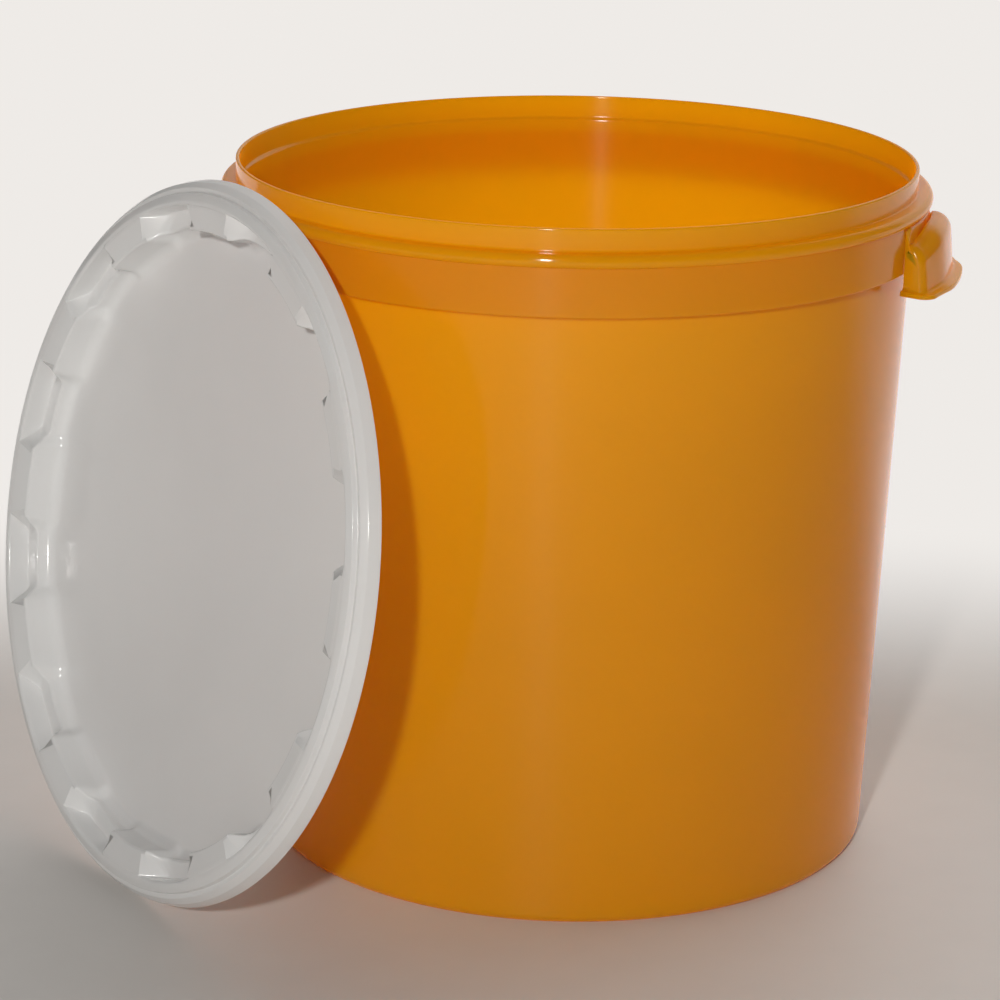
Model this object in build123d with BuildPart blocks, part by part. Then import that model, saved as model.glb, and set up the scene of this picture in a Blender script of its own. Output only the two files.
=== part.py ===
"""Honey pail: a tapered tub with a collared rim, two fold-out grips and a snap lid leaning against it.

Millimetres, +Z up. The tub's axis is Z and its base rests on the floor at Z 0. Each moulding is drawn in
its own frame and then placed where it stands.
"""

import math
import os

from build123d import *

# Tub wall and floor
tub_height = 380.5
base_radius = 169.0
wall_draft = 2.42
wall_thickness = 2.2
floor_thickness = 2.6
base_edge_radius = 5.0
floor_corner_radius = 9.0

# Rim: lip, lid seat, bead and hanging collar
lip_step = 1.42
lip_thickness = 2.2
lip_round = 0.9
seat_height = 11.9
seat_flare = 0.5
bead_reach = 8.0
bead_round = 3.6
web_depth = 7.6
inner_step_drop = 12.5
inner_step_height = 1.5
collar_setback = 3.25
collar_thickness = 2.0
collar_drop = 44.5
collar_edge_round = 0.7

# Collar windows that the grips hang in
grip_azimuth = -11.2
grip_half_angle = 13.2
slit_width = 1.2
cheek_thickness = 2.2

# Grips
grip_setback = 0.55
grip_depth = 16.3
grip_overhang = 8.0
grip_draft = 6.0
grip_crest_gap = 3.5
grip_wall = 2.6
grip_dome_radius = 10.5
grip_inner_radius = 4.0
grip_end_round = 4.5
flange_width = 5.0
flange_thickness = 3.0
flange_corner = 7.0
flange_blend = 2.2
flange_edge_round = 1.0
neck_thickness = 2.2
valley_width = 1.4
valley_depth = 6.0
hinge_gap = 0.5

# Lid, with its skirt's lower edge at level 0
lid_thickness = 1.5
skirt_setback = 0.6
shoulder_inset = 2.1
shoulder_rise = 6.4
crown_reach = 2.3
crown_rise = 3.3
gutter_inset = 2.6
gutter_drop = 0.4
ridge_inset = 1.2
ridge_rise = 2.6
ridge_round = 0.6
rim_inset = 5.8
rim_rise = 0.6
rim_round = 1.8
plug_draft = 4.0
ledge_depth = 12.0
ledge_width = 9.4
ledge_round = 1.5
panel_depth = 9.5
panel_fillet = 6.5
channel_clearance = 0.4
channel_depth = 5.7

# Castellations of the lid rim
pad_count = 12
pad_phase = 3.0
pad_drop = 0.8
pad_tilt = 11.5
pad_reach = 4.0
pad_root_angle = 16.4
pad_tip_angle = 13.4
pad_corner = 4.5
pad_draft = 7.0
pad_foot = 7.0
foot_slope = 45.0
pad_edge = 1.0
pad_bite = 0.3

# Where the lid leans
lid_azimuth = 214.5
lid_lean = 10.87
lid_offset = -24.6
lean_clearance = 0.3
touch_steps = 96

# Small overlaps that let neighbouring volumes merge or cut cleanly
merge = 0.4
beyond = 1.0

# Largest share of a wall's width that a round in its corner may take
round_share = 0.95


def polar(radius, angle):
    """Point at a radius and an angle in degrees."""
    return (radius * math.cos(math.radians(angle)), radius * math.sin(math.radians(angle)))


def arc_angle(length, radius):
    """Angle in degrees that a length spans along a circle."""
    return math.degrees(length / radius)


def radial_plane(azimuth):
    """Upright plane through the Z axis, its local x pointing outward at the azimuth."""
    outward = polar(1, azimuth)
    return Plane(origin=(0, 0, 0), x_dir=(*outward, 0), z_dir=(outward[1], -outward[0], 0))


def wall_at(level):
    """Outer radius of the tapered tub wall at a level."""
    return base_radius + level * math.tan(math.radians(wall_draft))


def corners(sketch, *points):
    """Sketch vertices nearest to the given points."""
    return [sketch.vertices().sort_by_distance(point)[0] for point in points]


def from_axis(shape):
    """Distance of a shape's middle from the Z axis."""
    return math.hypot(shape.center().X, shape.center().Y)


# Levels and radii of the rim
bead_top = tub_height - seat_height
bead_level = bead_top - bead_round
lip_radius = wall_at(bead_top) + lip_step
bead_radius = lip_radius + bead_reach
bead_centre = bead_radius - bead_round
web_bottom = bead_top - web_depth
collar_bottom = tub_height - collar_drop
collar_radius = bead_radius - collar_setback
collar_inner = collar_radius - collar_thickness
bead_start = bead_level - math.sqrt(bead_round**2 - (collar_radius - bead_centre) ** 2)
groove_radius = lip_radius - seat_flare
lip_inner = lip_radius - lip_thickness
step_top = tub_height - inner_step_drop
step_bottom = step_top - inner_step_height

# Levels, radii and angles of the grips
window_top = bead_level - bead_round + merge / 2
window_half = grip_half_angle + arc_angle(slit_width, collar_radius)
cheek_angle = arc_angle(cheek_thickness, collar_radius)
grip_crest = window_top - grip_crest_gap
grip_foot = collar_bottom - grip_overhang
grip_back_radius = collar_radius - grip_setback
grip_face_radius = grip_back_radius + grip_depth
valley_floor = grip_crest - valley_depth
neck_outer = grip_back_radius + neck_thickness
neck_round = neck_thickness / 2
hinge_level = window_top - hinge_gap - neck_round
hump_radius = neck_outer + valley_width

# Tub: one revolved wall, with a window in the collar at each grip
with BuildPart() as tub:
    with BuildSketch(Plane.XZ) as tub_section:
        with BuildLine():
            Polyline(
                (bead_centre, bead_top),
                (groove_radius, bead_top),
                (lip_radius, tub_height),
                (lip_inner, tub_height),
                (lip_inner, step_top),
                (wall_at(step_bottom) - wall_thickness, step_bottom),
                (wall_at(floor_thickness) - wall_thickness, floor_thickness),
                (0, floor_thickness),
                (0, 0),
                (base_radius, 0),
                (wall_at(web_bottom), web_bottom),
                (collar_inner, web_bottom),
                (collar_inner, collar_bottom),
                (collar_radius, collar_bottom),
                (collar_radius, bead_start),
            )
            ThreePointArc((collar_radius, bead_start), (bead_radius, bead_level), (bead_centre, bead_top))
        make_face()
        fillet(corners(tub_section, (base_radius, 0)), base_edge_radius)
        fillet(
            corners(tub_section, (wall_at(floor_thickness) - wall_thickness, floor_thickness)),
            floor_corner_radius,
        )
        fillet(corners(tub_section, (lip_radius, tub_height), (lip_inner, tub_height)), lip_round)
        fillet(
            corners(tub_section, (collar_inner, collar_bottom), (collar_radius, collar_bottom)),
            collar_edge_round,
        )
    revolve(axis=Axis.Z)

    for side in (grip_azimuth, grip_azimuth + 180):
        with BuildSketch(radial_plane(side - window_half)):
            with BuildLine():
                Polyline(
                    (collar_inner - merge, collar_bottom - beyond),
                    (bead_radius, collar_bottom - beyond),
                    (bead_radius, window_top),
                    (collar_inner - merge, window_top),
                    close=True,
                )
            make_face()
        revolve(axis=Axis.Z, revolution_arc=2 * window_half, mode=Mode.SUBTRACT)
        for start in (side - window_half - cheek_angle, side + window_half):
            with BuildSketch(radial_plane(start)):
                with BuildLine():
                    Polyline(
                        (wall_at(collar_bottom) - merge, collar_bottom + collar_edge_round),
                        (collar_radius - merge / 2, collar_bottom + collar_edge_round),
                        (collar_radius - merge / 2, web_bottom + merge),
                        (wall_at(web_bottom) - merge, web_bottom + merge),
                        close=True,
                    )
                make_face()
            revolve(axis=Axis.Z, revolution_arc=cheek_angle)

# Space inside a grip for the fingers, open below and towards the tub
with BuildPart() as finger_space:
    space_half = grip_half_angle - arc_angle(grip_wall, grip_back_radius)
    space_face = grip_face_radius - grip_wall
    space_top = grip_crest - grip_wall
    space_shoulder = space_face - (space_top - grip_foot) * math.tan(math.radians(grip_draft))
    with BuildSketch(radial_plane(-space_half)) as space_section:
        with BuildLine():
            Polyline(
                (grip_back_radius - beyond, grip_foot - beyond),
                (space_face, grip_foot - beyond),
                (space_face, grip_foot),
                (space_shoulder, space_top),
                (hump_radius + grip_wall, space_top),
                (hump_radius + grip_wall, valley_floor - grip_wall),
                (grip_back_radius - beyond, valley_floor - grip_wall),
                close=True,
            )
        make_face()
        space_width = space_shoulder - hump_radius - grip_wall
        fillet(
            corners(space_section, (space_shoulder, space_top)),
            min(grip_inner_radius, round_share * space_width),
        )
    revolve(axis=Axis.Z, revolution_arc=2 * space_half)

# Flange round the open foot of a grip
with BuildPart() as flange:
    flange_half = grip_half_angle + arc_angle(flange_width, grip_face_radius)
    flange_radius = grip_face_radius + flange_width
    with BuildSketch(Plane.XY.offset(grip_foot)) as flange_plan:
        with BuildLine():
            ThreePointArc(
                polar(grip_back_radius, -flange_half),
                (grip_back_radius, 0),
                polar(grip_back_radius, flange_half),
            )
            Line(polar(grip_back_radius, flange_half), polar(flange_radius, flange_half))
            ThreePointArc(
                polar(flange_radius, flange_half), (flange_radius, 0), polar(flange_radius, -flange_half)
            )
            Line(polar(flange_radius, -flange_half), polar(grip_back_radius, -flange_half))
        make_face()
        fillet(
            corners(flange_plan, polar(flange_radius, flange_half), polar(flange_radius, -flange_half)),
            flange_corner,
        )
    extrude(amount=flange_thickness)
    flange_rim = flange.faces().filter_by(Axis.Z).edges().filter_by(
        lambda edge: from_axis(edge) > grip_back_radius + merge
    )
    fillet(flange_rim, flange_edge_round)

# Grip, drawn at azimuth 0: domed cup, flange, and a neck up to the hinge line
with BuildPart() as grip:
    shoulder = grip_face_radius - (grip_crest - grip_foot) * math.tan(math.radians(grip_draft))
    with BuildSketch(radial_plane(-grip_half_angle)) as cup_section:
        with BuildLine():
            Polyline(
                (grip_back_radius, grip_foot),
                (grip_face_radius, grip_foot),
                (shoulder, grip_crest),
                (grip_back_radius, grip_crest),
                close=True,
            )
        make_face()
        fillet(corners(cup_section, (shoulder, grip_crest)), grip_dome_radius)
    revolve(axis=Axis.Z, revolution_arc=2 * grip_half_angle)
    ends = grip.faces().filter_by(GeomType.PLANE).filter_by(lambda face: abs(face.normal_at().Z) < 0.5)
    outline = ends.edges().filter_by(
        lambda edge: from_axis(edge) > grip_back_radius + merge and edge.center().Z > grip_foot + merge
    )
    fillet(outline, grip_end_round)

    add(flange.part)
    flange_top = grip_foot + flange_thickness
    seam = grip.edges().filter_by(
        lambda edge: abs(edge.center().Z - flange_top) < merge / 4
        and abs(edge.bounding_box().size.Z) < merge / 4
        and grip_back_radius + merge < from_axis(edge) < grip_face_radius + merge
        and abs(math.degrees(math.atan2(edge.center().Y, edge.center().X))) < grip_half_angle + merge / 4
    )
    fillet(seam, flange_blend)
    add(finger_space.part, mode=Mode.SUBTRACT)

    with BuildSketch(radial_plane(-grip_half_angle)):
        with BuildLine():
            Polyline(
                (neck_outer, valley_floor),
                (hump_radius, valley_floor),
                (hump_radius, grip_crest + beyond),
                (neck_outer, grip_crest + beyond),
                close=True,
            )
        make_face()
    revolve(axis=Axis.Z, revolution_arc=2 * grip_half_angle, mode=Mode.SUBTRACT)
    with BuildSketch(radial_plane(-grip_half_angle)):
        with BuildLine():
            Polyline(
                (grip_back_radius, hinge_level),
                (grip_back_radius, valley_floor - grip_wall),
                (neck_outer, valley_floor - grip_wall),
                (neck_outer, hinge_level),
            )
            ThreePointArc(
                (neck_outer, hinge_level),
                (neck_outer - neck_round, hinge_level + neck_round),
                (grip_back_radius, hinge_level),
            )
        make_face()
    revolve(axis=Axis.Z, revolution_arc=2 * grip_half_angle)

# Lid outline
skirt_radius = bead_radius - skirt_setback
shoulder_radius = skirt_radius - shoulder_inset
shoulder_level = shoulder_rise
crown_radius = lip_radius + crown_reach
crown_level = shoulder_level + crown_rise
gutter_radius = crown_radius - gutter_inset
gutter_level = crown_level - gutter_drop
ridge_radius = gutter_radius - ridge_inset
ridge_level = gutter_level + ridge_rise
rim_inner_radius = ridge_radius - rim_inset
rim_level = ridge_level + rim_rise
ledge_level = rim_level - ledge_depth
panel_level = ledge_level - panel_depth
plug_slope = math.tan(math.radians(plug_draft))
ledge_outer = rim_inner_radius - (rim_level - ledge_level) * plug_slope
ledge_inner = ledge_outer - ledge_width
pad_tip_radius = ledge_inner - pad_reach
panel_radius = ledge_inner - (ledge_level - panel_level) * plug_slope
panel_under = panel_level - lid_thickness
panel_flat = panel_radius - panel_fillet
under_fillet = panel_fillet + lid_thickness
channel_inner = lip_inner - channel_clearance
channel_outer = lip_radius + channel_clearance
channel_foot = gutter_level - lid_thickness - channel_depth
pad_slope = math.radians(pad_tilt)
pad_top = Plane(
    origin=(rim_inner_radius, 0, rim_level - pad_drop),
    z_dir=(-math.sin(pad_slope), 0, math.cos(pad_slope)),
)


def pad_outline(inset, root_radius):
    """Plan of one castellation pad, drawn about +X out to a root radius and drawn in by an inset."""
    tip_radius = pad_tip_radius + inset
    root = pad_root_angle / 2 - arc_angle(inset, root_radius)
    tip = pad_tip_angle / 2 - arc_angle(inset, tip_radius)
    with BuildLine() as outline_of_pad:
        root_end = root_radius / math.cos(math.radians(root))
        Line(polar(root_end, -root), polar(root_end, root))
        Line(polar(root_end, root), polar(tip_radius, tip))
        ThreePointArc(polar(tip_radius, tip), (tip_radius, 0), polar(tip_radius, -tip))
        Line(polar(tip_radius, -tip), polar(root_end, -root))
    return outline_of_pad.edges()


# One castellation pad as it shows above, its top falling away from the rim, and the hollow under it
with BuildPart() as pad_skin:
    skin_root = rim_inner_radius + (rim_level - panel_level) * math.tan(math.radians(pad_draft)) + pad_bite
    with BuildSketch(Plane.XY.offset(panel_level)) as pad_plan:
        make_face(pad_outline(0, skin_root))
        fillet(pad_plan.vertices().sort_by(Axis.X)[:2], pad_corner)
    extrude(amount=rim_level - panel_level, taper=pad_draft)
    split(bisect_by=pad_top, keep=Keep.BOTTOM)
    top_edges = pad_skin.faces().sort_by(Axis.Z)[-1].edges().filter_by(
        lambda edge: from_axis(edge) < rim_inner_radius - pad_edge
    )
    chamfer(top_edges, pad_edge)
    foot_run = pad_foot * math.tan(math.radians(foot_slope))
    with BuildSketch(Plane.XY.offset(panel_level)) as pad_base:
        make_face(pad_outline(-foot_run, skin_root))
        fillet(pad_base.vertices().sort_by(Axis.X)[:2], pad_corner + foot_run)
    extrude(amount=pad_foot, taper=foot_slope)

with BuildPart() as pad_core:
    core_root = skin_root + lid_thickness
    with BuildSketch(Plane.XY.offset(panel_under)) as core_plan:
        make_face(pad_outline(lid_thickness, core_root))
        fillet(core_plan.vertices().sort_by(Axis.X)[:2], pad_corner - lid_thickness / 2)
    extrude(amount=rim_level - panel_level, taper=pad_draft)
    split(bisect_by=pad_top.offset(-lid_thickness), keep=Keep.BOTTOM)
    slope = math.radians(foot_slope)
    core_run = foot_run + lid_thickness * (1 + math.tan(slope) - 1 / math.cos(slope))
    with BuildSketch(Plane.XY.offset(panel_under)) as core_base:
        make_face(pad_outline(lid_thickness - core_run, core_root))
        fillet(core_base.vertices().sort_by(Axis.X)[:2], pad_corner + core_run)
    extrude(amount=core_run / math.tan(slope), taper=foot_slope)
    extrude(core_base.sketch, amount=-beyond)

# Lid: the skin less the hollow one wall below it, with the channel that takes the tub's lip
with BuildPart() as lid:
    with BuildSketch(Plane.XZ) as skin_section:
        with BuildLine():
            Polyline(
                (0, panel_under),
                (0, panel_level),
                (panel_radius, panel_level),
                (ledge_inner, ledge_level),
                (ledge_outer, ledge_level),
                (rim_inner_radius, rim_level),
                (ridge_radius, ridge_level),
                (gutter_radius, gutter_level),
                (crown_radius, crown_level),
                (shoulder_radius, shoulder_level),
                (skirt_radius, 0),
                (ledge_outer, 0),
                (ledge_outer, panel_under),
                close=True,
            )
        make_face()
        fillet(corners(skin_section, (panel_radius, panel_level)), panel_fillet)
        fillet(corners(skin_section, (rim_inner_radius, rim_level)), rim_round)
        fillet(
            corners(skin_section, (crown_radius, crown_level), (shoulder_radius, shoulder_level)), rim_round
        )
        fillet(corners(skin_section, (ledge_inner, ledge_level)), ledge_round)
        fillet(
            corners(skin_section, (ridge_radius, ridge_level), (gutter_radius, gutter_level)), ridge_round
        )
    revolve(axis=Axis.Z)
    with PolarLocations(0, pad_count, start_angle=pad_phase):
        add(pad_skin.part)

    with BuildSketch(Plane.XZ) as core_section:
        with BuildLine():
            Polyline(
                (panel_radius + lid_thickness, panel_under - beyond),
                (panel_radius + lid_thickness, panel_under),
                (ledge_inner + lid_thickness, ledge_level - lid_thickness),
                (ledge_outer + lid_thickness, ledge_level - lid_thickness),
                (rim_inner_radius + lid_thickness, rim_level - lid_thickness),
                (ridge_radius - lid_thickness, ridge_level - lid_thickness),
                (gutter_radius - lid_thickness, gutter_level - lid_thickness),
                (crown_radius - lid_thickness / 2, crown_level - lid_thickness),
                (shoulder_radius - lid_thickness, shoulder_level - lid_thickness / 2),
                (skirt_radius - lid_thickness, 0),
                (skirt_radius - lid_thickness, panel_under - beyond),
                close=True,
            )
        make_face()
    revolve(axis=Axis.Z, mode=Mode.SUBTRACT)
    with BuildSketch(Plane.XZ) as corner_section:
        with BuildLine():
            Polyline(
                (panel_flat, panel_under),
                (panel_flat, panel_under - beyond),
                (panel_radius + lid_thickness + merge, panel_under - beyond),
                (panel_radius + lid_thickness + merge, panel_under + under_fillet),
                (panel_radius + lid_thickness, panel_under + under_fillet),
            )
            TangentArc(
                (panel_flat, panel_under),
                (panel_radius + lid_thickness, panel_under + under_fillet),
                tangent=(1, 0),
            )
        make_face()
    revolve(axis=Axis.Z, mode=Mode.SUBTRACT)
    with PolarLocations(0, pad_count, start_angle=pad_phase):
        add(pad_core.part, mode=Mode.SUBTRACT)

    rings = ((channel_inner - lid_thickness, ridge_level), (channel_outer, gutter_level))
    with BuildSketch(Plane.XZ):
        for inner, level in rings:
            with BuildLine():
                Polyline(
                    (inner, channel_foot),
                    (inner + lid_thickness, channel_foot),
                    (inner + lid_thickness, level - lid_thickness / 2),
                    (inner, level - lid_thickness / 2),
                    close=True,
                )
            make_face()
    revolve(axis=Axis.Z)

# Lid placed: foot of the skirt on the floor, its underside leaning on the tub
lean = math.radians(lid_lean)
lid_level = skirt_radius * math.cos(lean)


def tub_reach(level):
    """Outer radius of the tub at a level, as if the collar had no windows."""
    if level > tub_height:
        return 0
    if level > bead_top:
        return lip_radius
    if level > bead_start:
        return bead_centre + math.sqrt(max(bead_round**2 - (level - bead_level) ** 2, 0))
    if level > collar_bottom:
        return collar_radius
    return wall_at(level)


def stand_for(radius, depth, turn):
    """Distance from the tub's axis at which one point of the lid's underside just touches the tub."""
    across = lid_offset + radius * math.cos(turn)
    up = radius * math.sin(turn)
    reach = tub_reach(lid_level + up * math.cos(lean) + depth * math.sin(lean)) + lean_clearance
    if abs(across) > reach:
        return 0
    return math.sqrt(reach**2 - across**2) - depth * math.cos(lean) + up * math.sin(lean)


underside = [(skirt_radius, 0)]
for step in range(touch_steps + 1):
    share = step / touch_steps
    bend = share * math.pi / 2
    underside.append((panel_flat * share, panel_under))
    underside.append(
        (panel_flat + under_fillet * math.sin(bend), panel_under + under_fillet * (1 - math.cos(bend)))
    )
turns = [math.pi * step / touch_steps for step in range(touch_steps + 1)]
lid_stand = max(stand_for(radius, depth, turn) for radius, depth in underside for turn in turns)
away = polar(1, lid_azimuth)
along = (-away[1], away[0])
lid_place = Plane(
    origin=(
        lid_stand * away[0] + lid_offset * along[0],
        lid_stand * away[1] + lid_offset * along[1],
        lid_level,
    ),
    x_dir=(*along, 0),
    z_dir=(away[0] * math.cos(lean), away[1] * math.cos(lean), math.sin(lean)),
)

tub_body = tub.part
tub_body.label = "tub"
right_grip = Rot(0, 0, grip_azimuth) * grip.part
right_grip.label = "right_grip"
left_grip = Rot(0, 0, grip_azimuth + 180) * grip.part
left_grip.label = "left_grip"
leaning_lid = lid_place.location * lid.part
leaning_lid.label = "lid"

os.makedirs("parts", exist_ok=True)
export_step(tub_body, "parts/tub.step")
export_step(right_grip, "parts/right_grip.step")
export_step(left_grip, "parts/left_grip.step")
export_step(leaning_lid, "parts/lid.step")
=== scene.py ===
"""Plastic honey pail with a collared rim, two fold-out grips and a castellated lid that leans against it.

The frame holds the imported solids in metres. The tub and the lid are modelled again here with finer rounds,
the grips are shaped from a copy of the right one's solid, and every piece gets a moulded plastic finish.
"""

import math

import bpy
from bpy.props import FloatProperty, FloatVectorProperty, IntProperty, PointerProperty
from bpy.types import Operator, Panel, PropertyGroup
from mathutils import Matrix, Vector


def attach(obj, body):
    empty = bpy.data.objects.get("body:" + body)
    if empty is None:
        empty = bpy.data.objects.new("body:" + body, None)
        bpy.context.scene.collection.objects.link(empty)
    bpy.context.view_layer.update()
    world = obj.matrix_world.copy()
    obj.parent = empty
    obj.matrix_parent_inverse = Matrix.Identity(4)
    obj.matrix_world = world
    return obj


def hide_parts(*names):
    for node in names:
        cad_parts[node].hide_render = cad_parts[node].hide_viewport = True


bl_info = {
    "name": "Honey pail",
    "version": (1, 0, 0),
    "blender": (4, 5, 0),
    "location": "View3D > Sidebar > Pail",
    "description": "Models a plastic pail with its leaning lid and sets it on a pale floor",
    "category": "Add Mesh",
}

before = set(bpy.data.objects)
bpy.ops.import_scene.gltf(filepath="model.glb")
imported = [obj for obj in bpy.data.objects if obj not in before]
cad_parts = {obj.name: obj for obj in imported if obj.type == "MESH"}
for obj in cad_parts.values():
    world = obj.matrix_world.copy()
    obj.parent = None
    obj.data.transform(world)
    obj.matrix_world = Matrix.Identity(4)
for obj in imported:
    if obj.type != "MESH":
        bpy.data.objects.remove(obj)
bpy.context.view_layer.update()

MM = 0.001

# Points closer than these are merged, in a new piece and in the copy of a solid
WELD = 0.01 * MM
FINE_WELD = 0.001 * MM

# How near a point counts as on a level, and above which cosine two directions count as one
NEAR = 0.1 * MM
ONE_WAY = 0.9999999


def length(name, description, millimetres):
    """A length property, its default given in millimetres."""
    return FloatProperty(
        name=name,
        description=description,
        default=millimetres * MM,
        subtype="DISTANCE",
        unit="LENGTH",
        precision=5,
    )


def angle(name, description, degrees):
    """An angle property, its default given in degrees."""
    return FloatProperty(
        name=name, description=description, default=math.radians(degrees), subtype="ANGLE", unit="ROTATION"
    )


def colour(name, description, value):
    """A colour property in linear light."""
    return FloatVectorProperty(
        name=name, description=description, default=value, size=3, min=0.0, max=1.0, subtype="COLOR"
    )


def amount(name, description, value):
    """A plain number property."""
    return FloatProperty(name=name, description=description, default=value, min=0.0)


def count(name, description, value):
    """A whole number property."""
    return IntProperty(name=name, description=description, default=value, min=1)


class PailTubSizes(PropertyGroup):
    """Sizes of the tub."""

    height: length("Height", "Floor to the top of the lip", 380.5)
    base_radius: length("Base radius", "Outside radius of the wall at the floor", 169.0)
    draft: angle("Wall draft", "Taper of the wall from upright", 2.42)
    wall: length("Wall", "Thickness of the wall", 2.2)
    floor: length("Floor", "Thickness of the floor", 2.6)
    base_round: length("Base round", "Round under the wall", 5.0)
    floor_round: length("Floor round", "Round inside, between floor and wall", 9.0)
    lip_radius: length("Lip radius", "Outside radius of the lip", 186.0)
    lip_wall: length("Lip wall", "Thickness of the lip", 2.2)
    lip_round: length("Lip round", "Round on both edges of the lip", 0.9)
    seat: length("Lid seat", "Height of the lip above the bead", 11.9)
    seat_flare: length("Seat flare", "How far the lip leans out above the bead", 0.5)
    seat_round: length("Seat round", "Round between the lip and the bead's top", 0.8)
    step_drop: length("Inner step drop", "Depth of the step inside the lip", 12.5)
    step_height: length("Inner step height", "Height of the step inside the lip", 1.5)
    step_round: length("Inner step round", "Round on both edges of the step inside the lip", 1.6)
    bead_radius: length("Bead radius", "Outside radius of the bead", 193.95)
    bead_round: length("Bead round", "Radius of the bead's own section", 3.6)
    bead_cut: length("Bead cut", "How far above its lowest point the bead's section ends", 0.2)
    bead_chords: count("Bead chords", "Faces round the bead's section", 16)
    web_drop: length("Web drop", "From the bead's top to the underside of its web", 7.6)
    web_inset: length("Web inset", "How far inside the collar the web's edge stands", 0.4)
    web_round: length("Web round", "Round between the web and the wall", 0.6)
    collar_radius: length("Collar radius", "Outside radius of the hanging collar", 190.75)
    collar_wall: length("Collar wall", "Thickness of the collar", 2.0)
    collar_drop: length("Collar drop", "From the lip's top to the collar's lower edge", 44.5)
    collar_lap: length("Collar lap", "How far the collar reaches up past the web's underside", 1.2)
    collar_round: length("Collar round", "Round on the collar's lower edge and ends", 0.7)
    collar_chords: count("Collar chords", "Faces across a round at the collar's ends", 3)
    collar_support: length("Collar support", "Distance of the rows that keep the collar flat", 1.0)
    cheek: length("Cheek", "Thickness of the cheeks that close the collar beside a grip", 2.2)
    cheek_lap: length("Cheek lap", "How far a cheek reaches up past the web's underside", 0.4)
    cheek_inset: length("Cheek inset", "How deep a cheek's edges sit in the wall and the collar", 0.6)
    cheek_round: length("Cheek round", "Round on a cheek's edges", 0.4)
    cheek_chords: count("Cheek chords", "Faces across a round on a cheek", 2)
    window_half: angle("Window half angle", "Half the angle of the gap in the collar at a grip", 13.56)
    window_azimuth: angle("Window azimuth", "Where the right grip hangs", -11.2)
    support: length("Support", "Distance of the rows that keep the wall flat beside its rounds", 2.0)
    steps: count("Steps", "Faces round the tub", 256)
    crease: angle("Crease", "Edges bent by more than this stay sharp", 32.0)


class PailGripSizes(PropertyGroup):
    """How the grips depart from their plain solids."""

    foot_level: length("Foot level", "Top of what moves with the flange", 333.5)
    foot_drop: length("Foot drop", "How far the flange is let down", 3.2)
    foot_run: length("Foot run", "How far above the flange the wall is drawn along", 16.0)
    hump_radius: length("Hump radius", "Where the dome starts outside the neck", 193.2)
    end_half: angle("End half angle", "Where the ends start, from the middle of a grip", 12.4)
    end_level: length("End level", "Lowest level of the dome's end that is let down", 346.0)
    end_drop: length("End drop", "How far the dome falls off towards its ends", 6.5)
    end_inset: length("End inset", "How far the front comes in towards its ends", 3.0)
    end_run: length("End run", "How far from an end the dome is drawn along", 26.0)
    corner_radius: length("Corner radius", "Where the front corner of an end starts", 202.0)
    crease: angle("Crease", "Edges bent by more than this stay sharp", 30.0)


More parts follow.
